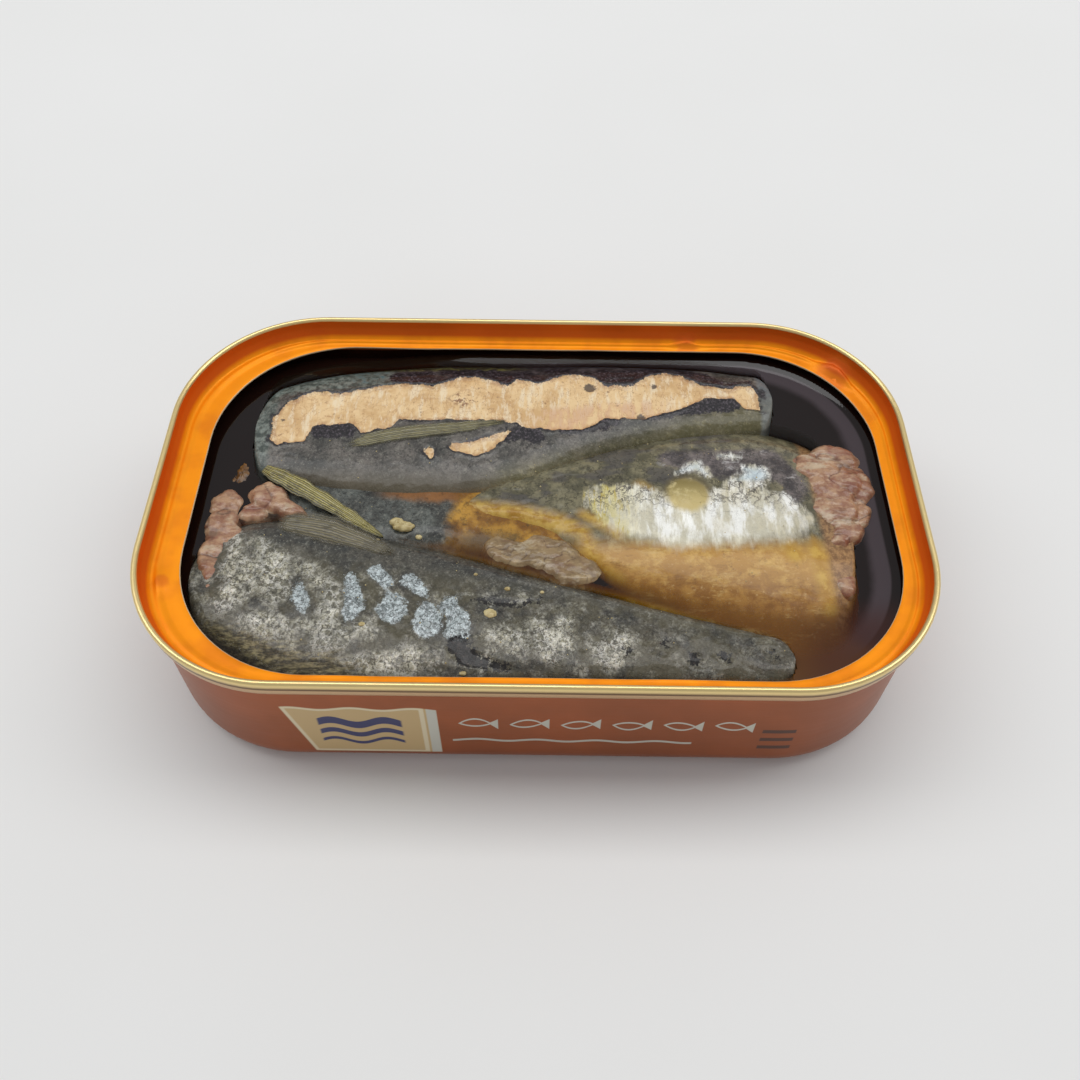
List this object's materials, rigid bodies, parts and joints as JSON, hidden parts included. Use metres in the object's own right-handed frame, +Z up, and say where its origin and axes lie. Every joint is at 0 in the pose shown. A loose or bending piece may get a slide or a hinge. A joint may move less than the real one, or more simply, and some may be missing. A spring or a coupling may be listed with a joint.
{
  "type": "opened sardine tin",
  "caption": "Shallow drawn can with round corners and a seamed lid ring, opened, filled with headless sardines lying head to tail in dark spiced oil.",
  "frame": {"origin": "centre of the flat base, where the tin stands", "axes": "+X along the tin's length, +Y away from the printed front, +Z up out of the open mouth"},
  "size_m": [0.105, 0.064, 0.024],
  "materials": {
    "printed_can": "satin metallic copper-orange print with pale fields",
    "gold_lacquer": "glossy gold and orange lacquer",
    "oil": "dark amber oil with a mirror-smooth surface",
    "blue_fish_skin": "wet slate-grey fish skin with silvery scales",
    "back_fish_skin": "wet grey fish skin with bare cream flesh along the back",
    "belly_skin": "wet silver and golden belly skin",
    "sunk_skin": "wet amber-brown skin under a film of oil",
    "flesh": "moist pink-brown cooked flesh",
    "garlic": "moist pale yellow",
    "chilli": "moist dark brown",
    "fin": "wet olive, ribbed"
  },
  "bodies": {
    "root": {"can_body": "printed_can", "end_ring": "gold_lacquer", "oil": "oil", "fish_front": "blue_fish_skin", "fish_back": "back_fish_skin", "fish_right": "belly_skin", "fish_low": "sunk_skin", "loose_flesh": "flesh", "garlic_bit": "garlic", "chilli_bit": "chilli", "neck_fin": "fin", "side_fin": "fin"}
  },
  "joints": []
}
